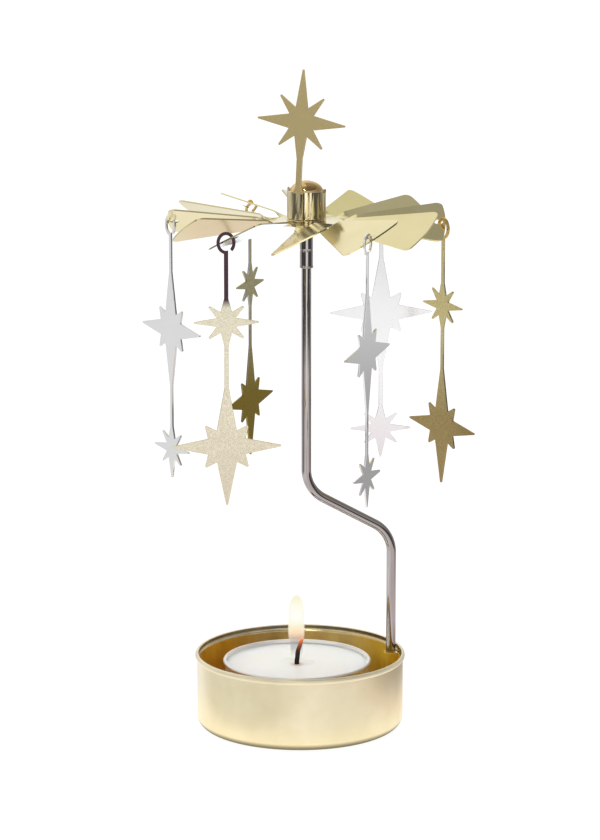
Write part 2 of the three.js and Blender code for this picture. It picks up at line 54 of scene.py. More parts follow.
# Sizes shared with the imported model. Heights are above the table, unless a comment says otherwise.
SLIP_GAP = 0.15
REST_GAP = 0.3

# Dish
DISH_RADIUS = 27.3  # over the bead
DISH_HEIGHT = 19.2
DISH_SHEET = 0.6
DISH_CORNER = 2.6
DISH_WALL = 26.8  # outside radius under the bead
DISH_INSIDE = DISH_WALL - DISH_SHEET
BEAD_HEIGHT = 1.5
BEAD_FOOT = 17.45  # where the rolled edge leaves the inner wall
SOCKET_TOP = 17.2
SOCKET_BOTTOM = 13.0
SOCKET_MIDDLE = (SOCKET_TOP + SOCKET_BOTTOM) / 2
SOCKET_SHEET = 0.45

# Wire, sleeve and needle
WIRE_RADIUS = 1.25
WIRE_FOOT = DISH_INSIDE - SLIP_GAP - WIRE_RADIUS  # from the dish's middle to the wire's lower run
WIRE_BEND = 9.0
WIRE_TURN = math.radians(60.7)
WIRE_AZIMUTH = math.radians(16)
WIRE_SHOULDER = 67.6
WIRE_END = 12.2
WIRE_TOP = 129.0
MAST_OFFSET = 1.7
SLEEVE_RADIUS = 1.75
SLEEVE_BOTTOM = 120.1
SLEEVE_TOP = 135.0
CRIMP_LINE = 124.7
NEEDLE_RADIUS = 0.6
NEEDLE_POINT = 3

# Rotor
ROTOR_HEIGHT = 132.0
ROTOR_RADIUS = 35.3
ROTOR_SHEET = 0.4
BLADES = 12
BLADE_STEP = TAU / BLADES
BLADE_PITCH = math.radians(26.5)
BLADE_PHASE = math.radians(-2)
BLADE_CORNER = 1.7
BLADE_STRAIGHT = ROTOR_RADIUS - BLADE_CORNER  # radius at which a blade's outer corners begin
SLIT_WIDTH = 0.7
SLIT_START = 9.5
NECK_LENGTH = 3.6
NECK_END = SLIT_START + NECK_LENGTH
HOOK_RADIUS = 1.2
HOOK_INSET = 1.8

# Hub cap, with heights above the rotor
CAP_RADIUS = 4.4
CAP_SHEET = 0.4
CAP_STRAIGHT = 7.2
CAP_RISE = 10.5
CAP_FLANGE = 5.05
CAP_FOOT = 4.95
CAP_ROUND = 0.1

# Topper, with heights above the rotor
TOPPER_SHEET = 0.4
TOPPER_AZIMUTH = math.radians(244)
BAND_RADIUS = CAP_RADIUS + SLIP_GAP
BAND_FOOT = 0.9
BAND_HEIGHT = 7.1
BAND_TOP = BAND_FOOT + BAND_HEIGHT
BAND_GAP = math.radians(50)
EAR_WIDTH = 1.6
EAR_HEIGHT = 0.6
EAR_SINK = 0.5
EAR_TIP = 0.12
EAR_LEAN = math.radians(32)
TOP_STEM = 0.8
TOP_STEM_SPREAD = 0.6
TOP_LEAN = math.radians(2.8)
TOP_STAR_HEIGHT = 25.8

# Charms
CHARM_SHEET = 0.5
CHARM_LENGTH = 68.6
CHARM_STEM = 0.525
CHARM_TURN = math.radians(-53)
CHARM_RADIAL = 34.724  # from the rotor's axis along the blade's middle line
CHARM_TANGENTIAL = -1.624  # and across it
CHARM_TOP = 133.402
RING_WIDTH = 4.7
RING_HEIGHT = 5.5
RING_BAND = 0.8
RING_OPEN = math.radians(230)
STAR_SPACING = 31.2
RAY_TIP = 0.22

# Stars: a side tip's reach, the top tip's rise, where the top ray ends or meets a stem, and three corners of
# the outline's upper quarter as shares of reach and rise
BIG_STAR = {
    "reach": 13.45, "rise": 14.9, "taper": 14.9,
    "upper": (0.186, 0.268), "tip": (0.394, 0.349), "side": (0.349, 0.134),
}
SMALL_STAR = {
    "reach": 7.95, "rise": 7.8, "taper": 5.9,
    "upper": (0.176, 0.333), "tip": (0.541, 0.513), "side": (0.296, 0.141),
}
TOP_STAR = {
    "reach": 12.2, "rise": 13.2, "taper": 9.4,
    "upper": (0.141, 0.274), "tip": (0.497, 0.481), "side": (0.279, 0.141),
}

# Tealight
TEALIGHT_OFFSET = 0.8
CUP_RADIUS = 19.25
CUP_HEIGHT = 16.4
CUP_SHEET = 0.3
CUP_LIP = 0.5
CUP_TAPER = 0.4
CUP_WALL = CUP_RADIUS - CUP_LIP
CUP_FOOT = DISH_SHEET + REST_GAP
CUP_RIM = CUP_FOOT + CUP_HEIGHT
WAX_FOOT = 1.35
WAX_TOP = CUP_RIM - 0.8
WAX_CREEP = 0.35  # how far the wax climbs at the cup's wall
WAX_CREEP_WIDTH = 1.0
WAX_LEVEL = WAX_TOP - WAX_CREEP
WAX_GAP = 0.05
POOL_RADIUS = 4.5
POOL_DEPTH = 0.3
TAB_RADIUS = 6.0
TAB_SHEET = 0.3
TAB_NECK = 1.15
TAB_TOP = 5.65
WICK_RADIUS = 0.65
WICK_BORE = WICK_RADIUS + SLIP_GAP
WICK_FOOT = WAX_FOOT + TAB_SHEET + SLIP_GAP
WICK_RISE = 6.4
WICK_LEAN = 1.4
WICK_AZIMUTH = math.radians(5)

# Details that only the looks have
ROLL = (  # inner groove of the dish's rolled edge, from its foot on the wall: outwards and up
    (0.22, 1.38), (0.34, 1.15), (0.42, 0.9), (0.42, 0.7), (0.34, 0.48), (0.2, 0.28), (0.07, 0.12), (0, 0),
)
WICK_THIN = 0.22  # share of its radius that the wick loses towards its tip
STRANDS = 3
STRAND_DEPTH = 0.07  # as a share of the wick's radius
STRAND_TWIST = 2.1  # radians for each millimetre
FLAME_FOOT = WAX_LEVEL + 0.2
FLAME_HEIGHT = 18.0
FLAME_RADIUS = 2.2
FLAME_ASIDE = -0.15
FLAME_LIGHT = 8.0
FLAME_OUTLINE = (  # shares of the radius and of the height
    (0, 0), (0.42, 0.015), (0.60, 0.06), (0.70, 0.13), (0.80, 0.22), (0.93, 0.32), (0.99, 0.42), (1.0, 0.54),
    (1.0, 0.64), (0.97, 0.73), (0.91, 0.80), (0.82, 0.86), (0.70, 0.91), (0.55, 0.95), (0.37, 0.98),
    (0.18, 0.995), (0, 1),
)

# Rounds on cut edges, and the least angles in degrees that stay sharp
BAND_EDGE = 0.08
STAR_EDGE = 0.06
CHARM_EDGE = 0.07
ROD_EDGE = 0.15
FLAT = 20
TURNED = 40

MAST = Vector((MAST_OFFSET * math.cos(WIRE_AZIMUTH), MAST_OFFSET * math.sin(WIRE_AZIMUTH), 0))
CANDLE = Vector((-TEALIGHT_OFFSET, 0, 0))
ROTOR = MAST + Vector((0, 0, ROTOR_HEIGHT))


# Meshes
def move(x, y, z):
    return Matrix.Translation((x, y, z))


def turn(angle, axis="Z"):
    return Matrix.Rotation(angle, 4, axis)


LAID_FLAT = turn(-math.pi / 2, "X")  # lays an upright plate on the ground


def link(name, data):
    made = bpy.data.objects.new(name, data)
    bpy.context.scene.collection.objects.link(made)
    return made


def build(name, points, faces, place=None):
    """A mesh object from points in millimetres, with its faces turned outwards."""
    mesh = bpy.data.meshes.new(name)
    matrix = place or Matrix.Identity(4)
    mesh.from_pydata([(matrix @ Vector(p)) * MM for p in points], [], faces)
    made = bmesh.new()
    made.from_mesh(mesh)
    bmesh.ops.recalc_face_normals(made, faces=made.faces)
    made.to_mesh(mesh)
    made.free()
    return link(name, mesh)


def applied(piece):
    """Makes the result of the piece's modifiers its mesh."""
    bpy.context.view_layer.update()
    graph = bpy.context.evaluated_depsgraph_get()
    mesh = bpy.data.meshes.new_from_object(piece.evaluated_get(graph))
    piece.modifiers.clear()
    piece.data = mesh
    return piece


def cut(piece, cutter):
    modifier = piece.modifiers.new("cut", "BOOLEAN")
    modifier.operation = "DIFFERENCE"
    modifier.solver = "EXACT"
    modifier.object = cutter
    applied(piece)
    bpy.data.objects.remove(cutter)
    return piece


def bevelled(piece, width, angle=40):
    modifier = piece.modifiers.new("bevel", "BEVEL")
    modifier.width = width * MM
    modifier.segments = 2
    modifier.limit_method = "ANGLE"
    modifier.angle_limit = math.radians(angle)
    return applied(piece)


def smooth(piece, angle=35):
    piece.data.shade_smooth()
    piece.data.set_sharp_from_angle(angle=math.radians(angle))
    return piece


def arc(cx, cy, rx, ry, start, end, steps):
    """Points of an ellipse round (cx, cy), from one angle to the other."""
    angles = [start + (end - start) * i / steps for i in range(steps + 1)]
    return [(cx + rx * math.cos(angle), cy + ry * math.sin(angle)) for angle in angles]


def tube_faces(rings, sides):
    """Faces that join each ring of points to the next."""
    faces = []
    for n in range(rings - 1):
        for i in range(sides):
            j = (i + 1) % sides
            faces.append([n * sides + i, n * sides + j, (n + 1) * sides + j, (n + 1) * sides + i])
    return faces


def lathe(name, profile, segments, place=None, bands=None):
    """A turned piece from a closed profile of radius and height. bands has a material index for each of the
    profile's edges."""
    points, rows, faces, slots = [], [], [], []
    for r, z in profile:
        start = len(points)
        if r < 1e-6:
            rows.append([start] * segments)
            points.append((0, 0, z))
        else:
            rows.append(list(range(start, start + segments)))
            angles = [TAU * i / segments for i in range(segments)]
            points += [(r * math.cos(angle), r * math.sin(angle), z) for angle in angles]
    for n in range(len(profile)):
        below, above = rows[n], rows[(n + 1) % len(profile)]
        if below[0] == below[1] and above[0] == above[1]:
            continue
        for i in range(segments):
            j = (i + 1) % segments
            faces.append(list(dict.fromkeys([below[i], below[j], above[j], above[i]])))
            slots.append(bands[n] if bands else 0)
    made = build(name, points, faces, place)
    made.data.polygons.foreach_set("material_index", slots)
    return made


def plate(name, outline, thickness, place=None):
    """A flat piece that stands upright: the outline's x along X and y up Z, centred on Y."""
    count = len(outline)
    points = [(x, side * thickness / 2, y) for side in (-1, 1) for x, y in outline]
    faces = [list(range(count)), list(range(2 * count - 1, count - 1, -1))]
    faces += [[i, (i + 1) % count, count + (i + 1) % count, count + i] for i in range(count)]
    return build(name, points, faces, place)


def rod(name, line, radius, sides, place=None):
    """A round rod along a flat line of x and z, with flat ends."""
    line = [Vector((x, 0, z)) for x, z in line]
    count = len(line)
    side = Vector((0, 1, 0))
    angles = [TAU * i / sides for i in range(sides)]
    points = []
    for n, at in enumerate(line):
        ahead = (line[min(n + 1, count - 1)] - line[max(n - 1, 0)]).normalized()
        up = ahead.cross(side)
        points += [at + radius * (math.cos(angle) * up + math.sin(angle) * side) for angle in angles]
    ends = [list(range(sides))[::-1], list(range((count - 1) * sides, count * sides))]
    return build(name, points, tube_faces(count, sides) + ends, place)


def box(name, size, place):
    width, depth, height = (length / 2 for length in size)
    corners = [(x, y, z) for x in (-width, width) for y in (-depth, depth) for z in (-height, height)]
    faces = [(0, 1, 3, 2), (4, 6, 7, 5), (0, 4, 5, 1), (2, 3, 7, 6), (0, 2, 6, 4), (1, 5, 7, 3)]
    return build(name, corners, faces, place)


# Node trees
class Nodes:
    """A node tree, with short calls to add and join nodes. A value is an output or a constant."""

    MIX_SOCKETS = {"RGBA": (6, 7, 2), "FLOAT": (2, 3, 0)}

    def __init__(self, tree):
        self.tree = tree

    def add(self, kind, inputs=None, **settings):
        """A node with its settings, and with its inputs by name."""
        node = self.tree.nodes.new(kind)
        for key, value in settings.items():
            setattr(node, key, value)
        for key, value in (inputs or {}).items():
            self.put(value, node.inputs[key])
        return node

    def put(self, value, socket):
        if isinstance(value, bpy.types.NodeSocket):
            self.tree.links.new(value, socket)
        else:
            socket.default_value = value

    def calculate(self, kind, operation, *values):
        """The number that a Math or VectorMath node gives."""
        node = self.add(f"ShaderNode{kind}", operation=operation)
        for value, socket in zip(values, node.inputs):
            self.put(value, socket)
        return node.outputs["Value"]

    def spread(self, value, low, high, start=0.3, end=0.7, **settings):
        """A number that goes from low to high as value goes from start to end."""
        inputs = {"Value": value, "From Min": start, "From Max": end, "To Min": low, "To Max": high}
        return self.add("ShaderNodeMapRange", inputs, **settings).outputs["Result"]

    def share(self, value, start, end, **settings):
        """How far value has gone from start to end, from 0 to 1."""
        return self.spread(value, 0.0, 1.0, start, end, **settings)

    def ramp(self, value, stops):
        """A colour that follows value through stops of a place from 0 to 1 and a colour."""
        node = self.add("ShaderNodeValToRGB", {"Fac": value})
        elements = node.color_ramp.elements
        while len(elements) < len(stops):
            elements.new(0.5)
        for element, (position, color) in zip(elements, stops):
            element.position = position
            element.color = (*color, 1)
        return node.outputs["Color"]

    def mix(self, share, first, second, kind="RGBA", **settings):
        """A blend of two colours, or of two numbers with kind FLOAT."""
        node = self.add("ShaderNodeMix", data_type=kind, **settings)
        one, other, result = self.MIX_SOCKETS[kind]
        for value, number in ((share, 0), (first, one), (second, other)):
            self.put(value, node.inputs[number])
        return node.outputs[result]

    def times(self, first, *others):
        """The product of colours."""
        for other in others:
            first = self.mix(1.0, first, other, blend_type="MULTIPLY")
        return first

    def blend(self, share, first, second):
        """A blend of two shaders."""
        node = self.add("ShaderNodeMixShader")
        for value, socket in zip((share, first, second), node.inputs):
            self.put(value, socket)
        return node.outputs["Shader"]


class Shader(Nodes):
    """A material's nodes, with the object's own coordinates at hand."""

    def __init__(self, name, base, metallic, roughness):
        self.material = bpy.data.materials.new(name)
        self.material.use_nodes = True
        super().__init__(self.material.node_tree)
        self.bsdf = self.tree.nodes["Principled BSDF"]
        self.drive(Base_Color=(*base, 1), Metallic=metallic, Roughness=roughness)
        self.coordinates = self.add("ShaderNodeTexCoord").outputs["Object"]

    def drive(self, **values):
        for key, value in values.items():
            self.put(value, self.bsdf.inputs[key.replace("_", " ")])

    def show(self, surface):
        """Makes this shader the material's surface."""
        self.put(surface, self.tree.nodes["Material Output"].inputs["Surface"])

    def along(self, axis, low, high):
        """How far a point is from one place on an axis to another, from 0 to 1."""
        split = self.add("ShaderNodeSeparateXYZ", {"Vector": self.coordinates})
        return self.share(split.outputs[axis], low * MM, high * MM)

    def facing(self):
        """0 where the surface is seen square on, and 1 where it turns away."""
        return self.add("ShaderNodeLayerWeight", {"Blend": 0.5}).outputs["Facing"]

    def noise(self, scale, detail=3.0, stretch=(1, 1, 1), rough=0.5):
        place = self.add("ShaderNodeMapping", {"Vector": self.coordinates, "Scale": stretch})
        inputs = {"Vector": place.outputs["Vector"], "Scale": scale, "Detail": detail, "Roughness": rough}
        return self.add("ShaderNodeTexNoise", inputs).outputs["Fac"]

    def tint(self, value, dark, light=WHITE, start=0.3, end=0.7):
        return self.ramp(value, [(start, dark), (end, light)])

    def bump(self, value, height, after=None):
        """Bumps as high as height in millimetres, on top of the bumps of after."""
        inputs = {"Height": value, "Distance": height * MM}
        if after:
            inputs["Normal"] = after
        return self.add("ShaderNodeBump", inputs).outputs["Normal"]


def grey(value):
    return (value, value, value)


# Metals
def polished(name, dark, light, roughness, wave, grain, play=0.3):
    """Bright sheet metal with slow waves and a fine rolling grain. Its roughness varies by the share play."""
    shader = Shader(name, light, 1.0, roughness)
    slow = shader.noise(90, 2)
    fine = shader.noise(2600, 4, (1, 1, 0.25))
    shader.drive(
        Base_Color=shader.tint(slow, dark, light),
        Roughness=shader.spread(fine, roughness * (1 - play), roughness * (1 + play)),
        Normal=shader.bump(fine, grain, after=shader.bump(slow, wave)),
    )
    return shader.material


def sparkled(name, tones, cell, depth, heights, grain=0.90, edge=WHITE):
    """Glittering sheet metal. Its tones go from seen square on to turned away, a painted sheen that is paler
    where the metal faces the eye, and heights has further tints from low to high, which are painted
    reflections."""
    roughness = 0.24
    shader = Shader(name, tones[0], 1.0, roughness)
    cells = shader.add("ShaderNodeTexVoronoi", {"Vector": shader.coordinates, "Scale": cell})
    split = shader.add("ShaderNodeSeparateColor", {"Color": cells.outputs["Color"]})
    slow = shader.noise(120, 3)
    fine = shader.noise(cell * 1.7, 3)
    # painted sheen: paler where the metal faces the eye, deeper where it turns away
    turned_away = (0.03, 0.12, 0.46)
    tone = shader.ramp(shader.facing(), list(zip(turned_away, tones)))
    glitter = shader.tint(split.outputs["Red"], grey(grain), WHITE, 0.1, 0.9)
    streak = shader.tint(shader.noise(420, 3, rough=0.7), (0.955, 0.965, 0.985))
    # painted reflection: tints by height stand for what the piece reflects
    low, high = heights[0][0], heights[-1][0]
    stops = [((height - low) / (high - low), tint) for height, tint in heights]
    painted_reflection = shader.ramp(shader.along("Z", low, high), stops)
    play = roughness * 3.5 * (1 - grain)
    shader.drive(
        Specular_Tint=(*edge, 1),
        Base_Color=shader.times(tone, glitter, streak, painted_reflection),
        Roughness=shader.spread(split.outputs["Green"], roughness - play, roughness + play, 0.0, 1.0),
        Normal=shader.bump(fine, depth, after=shader.bump(slow, 0.004)),
    )
    return shader.material


def charm_gold(number, heights, edge=WHITE):
    """The gold of one charm. Its heights' tints stand for what the charm reflects as it hangs."""
    tones = ((0.85, 0.79, 0.60), (0.80, 0.69, 0.36), (0.80, 0.63, 0.25))
    return sparkled(f"gold_charm_{number}", tones, 3000, 0.0015, heights, edge=edge)


def topper_gold():
    tones = ((0.92, 0.80, 0.44), (0.91, 0.75, 0.345), (0.86, 0.67, 0.26))
    # painted reflection: the topper slightly darker and pinker towards its foot
    heights = ((145, (0.96, 0.925, 0.96)), (152, (1.0, 0.965, 0.99)))
    return sparkled("gold_topper", tones, 3600, 0.0003, heights, grain=0.965)


def drawn(name, dark, light, metallic, roughness, wave):
    """Drawn sheet: broad soft mottling of its tone, slow waves and a satin grain."""
    shader = Shader(name, light, metallic, roughness)
    slow = shader.noise(55, 2)
    cloud = shader.noise(230, 3, rough=0.45)
    fine = shader.noise(1500, 2)
    broad = shader.tint(shader.noise(75, 1, (1, 1, 0.2)), (0.95, 0.94, 0.92), WHITE, 0.35, 0.6)
    shader.drive(
        Base_Color=shader.times(shader.tint(cloud, dark, light, 0.2, 0.8), broad),
        Roughness=shader.spread(fine, roughness * 0.92, roughness * 1.08),
        Normal=shader.bump(cloud, wave * 0.2, after=shader.bump(slow, wave)),
    )
    return shader.material


def inside_material():
    """The dish's inner wall: satin brass lit by the flame, with upright smudges left by the drawing. Its tone
    across the dish is painted light and reflection.
    """
    shader = Shader("dish_inside", (0.86, 0.6, 0.16), 0.5, 0.34)
    # painted light and reflections: deep orange at the left side, darker left of the middle, brighter towards
    # the right
    tone = shader.ramp(shader.along("X", -DISH_RADIUS, DISH_RADIUS), [
        (0.0, (1.0, 0.58, 0.05)), (0.16, (1.0, 0.58, 0.07)), (0.3, (0.70, 0.48, 0.17)),
        (0.42, (0.74, 0.54, 0.21)), (0.55, (0.90, 0.67, 0.25)), (0.74, (0.92, 0.73, 0.29)),
        (0.88, (1.0, 0.72, 0.09)), (1.0, (1.0, 0.72, 0.09)),
    ])
    smudge = shader.noise(170, 3, (1, 1, 0.3))
    slow = shader.noise(60, 2)
    shader.drive(
        Specular_Tint=(1.0, 0.78, 0.35, 1),
        Base_Color=shader.times(tone, shader.tint(smudge, (0.80, 0.76, 0.70), WHITE, 0.35, 0.62)),
        Roughness=shader.spread(smudge, 0.28, 0.40),
        Normal=shader.bump(smudge, 0.012, after=shader.bump(slow, 0.05)),
    )
    return shader.material


def lip_material():
    """The inner side of the rolled rim: a painted highlight along its foot and a dull painted reflection above
    it.
    """
    shader = Shader("dish_lip", (0.6, 0.55, 0.42), 0.85, 0.2)
    # painted highlight along the foot, painted dull reflection above it
    tone = shader.ramp(shader.along("Z", BEAD_FOOT, DISH_HEIGHT), [
        (0.0, (0.90, 0.72, 0.36)), (0.28, (0.88, 0.74, 0.44)),
        (0.42, (0.46, 0.45, 0.37)), (1.0, (0.54, 0.52, 0.45)),
    ])
    # painted light across the dish: lighter and bluer at the left, darker at the right
    side = shader.ramp(shader.along("X", -DISH_RADIUS, DISH_RADIUS), [
        (0.2, (1.08, 1.1, 1.2)), (0.55, WHITE), (0.85, (0.78, 0.72, 0.62)),
    ])
    cloud = shader.noise(230, 3)
    shader.drive(
        Base_Color=shader.times(tone, side, shader.tint(cloud, (0.8, 0.8, 0.78))),
        Roughness=shader.spread(cloud, 0.16, 0.26),
        Normal=shader.bump(cloud, 0.01),
    )
    return shader.material


# Wax, wick and flame
def wax_material():
    """White wax, warm where the wick's foot glows through it."""
    shader = Shader("wax", (0.93, 0.93, 0.90), 0.0, 0.38)
    slow = shader.noise(160, 4)
    fine = shader.noise(900, 4)
    glow = (CANDLE + Vector((0, -0.6, WAX_LEVEL - 0.2))) * MM
    away = shader.calculate("VectorMath", "DISTANCE", shader.coordinates, glow)
    warmth = shader.spread(away, 0.8, 0.0, 0.6 * MM, 2.2 * MM)
    plain = shader.tint(slow, (0.92, 0.92, 0.89), (0.95, 0.95, 0.925))
    shader.drive(
        Base_Color=shader.mix(warmth, plain, (1.0, 0.50, 0.28, 1)),
        Roughness=shader.spread(fine, 0.3, 0.48),
        Normal=shader.bump(slow, 0.12, after=shader.bump(fine, 0.01)),
        Subsurface_Weight=0.6,
        Subsurface_Radius=(1.0, 0.8, 0.6),
        Subsurface_Scale=0.004,
    )
    return shader.material


def wick_material():
    """Charred cotton, red hot towards its tip."""
    shader = Shader("wick", (0.01, 0.006, 0.005), 0.0, 0.9)
    share = shader.along("Z", WAX_LEVEL, WAX_LEVEL + WICK_RISE)
    strand = shader.noise(2200, 3, (1, 1, 0.3))
    shader.drive(
        Base_Color=shader.ramp(share, [
            (0.0, (0.01, 0.007, 0.006)), (0.5, (0.02, 0.008, 0.006)), (1.0, (0.25, 0.05, 0.02)),
        ]),
        Emission_Color=shader.ramp(share, [
            (0.35, (0, 0, 0)), (0.58, (0.06, 0.018, 0.01)), (0.8, (0.28, 0.08, 0.025)),
            (1.0, (0.62, 0.20, 0.06)),
        ]),
        Emission_Strength=1.0,
        Normal=shader.bump(strand, 0.15),
    )
    return shader.material


def flame_color(shader, share):
    """The flame's colour by height, in its body and towards its edges."""
    edge = shader.ramp(share, [
        (0.2, (0.55, 0.55, 0.56)), (0.34, (0.85, 0.72, 0.60)), (0.46, (1.0, 0.88, 0.66)),
        (0.62, (0.95, 0.93, 0.78)), (0.85, (0.95, 0.92, 0.74)), (1.0, (0.93, 0.90, 0.62)),
    ])
    body = shader.ramp(share, [
        (0.25, (0.36, 0.36, 0.36)), (0.35, (0.74, 0.56, 0.45)), (0.45, (1.0, 0.74, 0.48)),
        (0.56, (0.98, 0.93, 0.70)), (0.67, (1.0, 1.0, 0.96)), (0.85, (1.0, 0.98, 0.85)),
        (0.97, (0.93, 0.90, 0.62)),
    ])
    return shader.mix(shader.share(shader.facing(), 0.15, 0.7), body, edge)


def flame_strength(shader, share):
    """The flame's light on the object, and its lower strength to reflections and to the camera."""
    strength = shader.spread(share, 0.2, FLAME_LIGHT, 0.3, 0.6)
    path = shader.add("ShaderNodeLightPath")
    for ray, seen in (("Is Glossy Ray", 1.8), ("Is Camera Ray", 1.0)):
        strength = shader.mix(path.outputs[ray], strength, seen, kind="FLOAT")
    return strength


def flame_cover(shader, share):
    """How much the flame hides: least round the wick on its near side, and nothing at its brim."""
    far = shader.ramp(share, [
        (0.06, grey(0.0)), (0.18, grey(0.62)), (0.4, grey(0.9)), (0.94, grey(0.92)), (1.0, grey(0.6)),
    ])
    near = shader.ramp(share, [(0.34, grey(0.0)), (0.46, grey(0.9)), (0.94, grey(0.92)), (1.0, grey(0.6))])
    cover = shader.mix(shader.add("ShaderNodeNewGeometry").outputs["Backfacing"], near, far)
    brim = shader.spread(shader.facing(), 1.0, 0.0, 0.35, 0.95)
    flicker = shader.spread(shader.noise(260, 2, (1, 1, 0.3)), 0.88, 1.0)
    return shader.calculate("Math", "MULTIPLY", shader.calculate("Math", "MULTIPLY", cover, brim), flicker)


def flame_material():
    """A thin veil of light: clear round the wick, white above it, yellowish at its edges and its tip."""
    shader = Shader("flame", (0, 0, 0), 0.0, 1.0)
    share = shader.along("Z", FLAME_FOOT, FLAME_FOOT + FLAME_HEIGHT)
    inputs = {"Color": flame_color(shader, share), "Strength": flame_strength(shader, share)}
    light = shader.add("ShaderNodeEmission", inputs).outputs["Emission"]
    clear = shader.add("ShaderNodeBsdfTransparent").outputs["BSDF"]
    shader.show(shader.blend(flame_cover(shader, share), clear, light))
    shader.tree.nodes.remove(shader.bsdf)
    return shader.material


MATERIALS = {
    "sheet": polished("sheet_brass", (0.79, 0.69, 0.36), (0.84, 0.74, 0.42), 0.13, 0.04, 0.001),
    "collar": polished("collar_brass", (0.74, 0.64, 0.38), (0.82, 0.72, 0.47), 0.06, 0.05, 0.001),
    "dome": polished("dome_brass", (0.72, 0.48, 0.20), (0.78, 0.54, 0.25), 0.08, 0.02, 0.0008),
    "silver": polished("silver_charm", grey(0.895), grey(0.92), 0.16, 0.0005, 0.0001, play=0.06),
    "wire": polished("wire_chrome", (0.44, 0.405, 0.395), (0.50, 0.465, 0.455), 0.05, 0.004, 0.0002),
    "gold_1": charm_gold(1, (
        (82, (0.57, 0.52, 0.50)), (105, (1.0, 1.06, 1.2)),
        (127, (0.95, 1.0, 1.1)), (129, (1.0, 0.84, 0.6)),
    )),
    "gold_2": charm_gold(2, (
        (82, (0.40, 0.36, 0.24)), (105, (0.62, 0.72, 1.25)),
        (127, (0.62, 0.72, 1.2)), (129, (1.2, 1.05, 0.8)),
    ), edge=(1.0, 0.93, 0.55)),
    "gold_3": charm_gold(3, ((114.5, WHITE), (116.5, (0.10, 0.06, 0.10)))),
    "topper": topper_gold(),
    "outside": drawn("dish_outside", (0.81, 0.715, 0.49), (0.855, 0.77, 0.555), 1.0, 0.24, 0.03),
    # painted highlight: the bead is the dish's own brass, made lighter and half diffuse so the rim shows a
    # light line
    "bead": drawn("dish_bead", (0.90, 0.80, 0.56), (0.94, 0.85, 0.62), 0.45, 0.3, 0.01),
    "lip": lip_material(),
    "inside": inside_material(),
    "aluminium": drawn("tealight_foil", (0.93, 0.90, 0.86), (0.96, 0.94, 0.91), 0.5, 0.32, 0.01),
    "wax": wax_material(),
    "wick": wick_material(),
    "flame": flame_material(),
}


def dress(piece, body, slot, *materials, replaces=()):
    """Gives a piece its looks, the body that it rides on and the CAD nodes that it stands for."""
    for name in materials:
        piece.data.materials.append(MATERIALS[name])
    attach(piece, body)
    if replaces:
        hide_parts(*replaces)
    return piece


# Dish
def dish():
    """The drawn cup. Its profile runs from the middle up the outside, over the bead and back down inside."""
    bottom_steps, bead_steps = 8, 14
    wall_rows = (6, 9, 12, 15)
    corner = DISH_WALL - DISH_CORNER
    inner_corner = DISH_CORNER - DISH_SHEET
    bead = (DISH_SHEET + DISH_RADIUS - DISH_WALL) / 2
    bead_middle = DISH_RADIUS - bead
    bead_start = -math.acos((DISH_WALL - bead_middle) / bead)
    outside = [(corner * k / bottom_steps, 0) for k in range(bottom_steps)]
    outside += arc(corner, DISH_CORNER, DISH_CORNER, DISH_CORNER, -math.pi / 2, 0, 12)
    outside += [(DISH_WALL, z) for z in wall_rows]
    bead_rise, bead_end = BEAD_HEIGHT / 2, 0.7 * math.pi
    over = arc(bead_middle, DISH_HEIGHT - bead_rise, bead, bead_rise, bead_start, bead_end, bead_steps)
    lip = [(DISH_INSIDE + out, BEAD_FOOT + up) for out, up in ROLL]
    inside = [(DISH_INSIDE, z) for z in (BEAD_FOOT - 0.15, *reversed(wall_rows))]
    inside += arc(corner, DISH_CORNER, inner_corner, inner_corner, 0, -math.pi / 2, 10)
    inside += [(corner * k / bottom_steps, DISH_SHEET) for k in range(bottom_steps - 1, -1, -1)]
    bands = [0] * len(outside) + [2] * bead_steps + [3] * len(lip) + [1] * (len(inside) + 1)
    piece = lathe("dish_shell", outside + over + lip + inside, 192, bands=bands)
    depth = 2.6
    width = 2 * (WIRE_RADIUS + SLIP_GAP)
    place = turn(WIRE_AZIMUTH) @ move(DISH_INSIDE - SLIP_GAP + depth / 2, 0, SOCKET_MIDDLE)
    cut(piece, box("window", (depth, width, SOCKET_TOP - SOCKET_BOTTOM), place))
    return dress(smooth(piece), "base", "dish", "outside", "inside", "bead", "lip", replaces=["dish"])


def socket():
    """The strip of the wall that is pressed inwards round the wire."""
    inner = WIRE_RADIUS + SLIP_GAP
    outer = inner + SOCKET_SHEET
    end = DISH_INSIDE + DISH_SHEET / 2
    start, stop = math.pi / 2, 1.5 * math.pi
    outline = [(end, inner), (end, outer)] + arc(WIRE_FOOT, 0, outer, outer, start, stop, 24)
    outline += [(end, -outer), (end, -inner)] + arc(WIRE_FOOT, 0, inner, inner, stop, start, 24)
    place = turn(WIRE_AZIMUTH) @ move(0, 0, SOCKET_MIDDLE) @ LAID_FLAT
    piece = bevelled(plate("dish_socket", outline, SOCKET_TOP - SOCKET_BOTTOM, place), BAND_EDGE)
    return dress(smooth(piece, FLAT), "base", "dish", "inside")


# Wire, sleeve and needle
def wire():
    steps = 28
    slant = (WIRE_FOOT - MAST_OFFSET - 2 * WIRE_BEND * (1 - math.cos(WIRE_TURN))) / math.sin(WIRE_TURN)
    fall = 2 * WIRE_BEND * math.sin(WIRE_TURN) + slant * math.cos(WIRE_TURN)
    bend = MAST_OFFSET + WIRE_BEND
    line = [(WIRE_FOOT, WIRE_END), (WIRE_FOOT, WIRE_END + 0.3)]
    line += arc(WIRE_FOOT - WIRE_BEND, WIRE_SHOULDER - fall, WIRE_BEND, WIRE_BEND, 0, WIRE_TURN, steps)
    line += arc(bend, WIRE_SHOULDER, WIRE_BEND, WIRE_BEND, math.pi + WIRE_TURN, math.pi, steps)
    line += [(MAST_OFFSET, z) for z in (80, 100, WIRE_TOP - 0.5, WIRE_TOP)]
    piece = rod("wire_rod", line, WIRE_RADIUS, 48, turn(WIRE_AZIMUTH))
    return dress(smooth(bevelled(piece, ROD_EDGE), FLAT), "base", "wire", "wire", replaces=["wire_stand"])


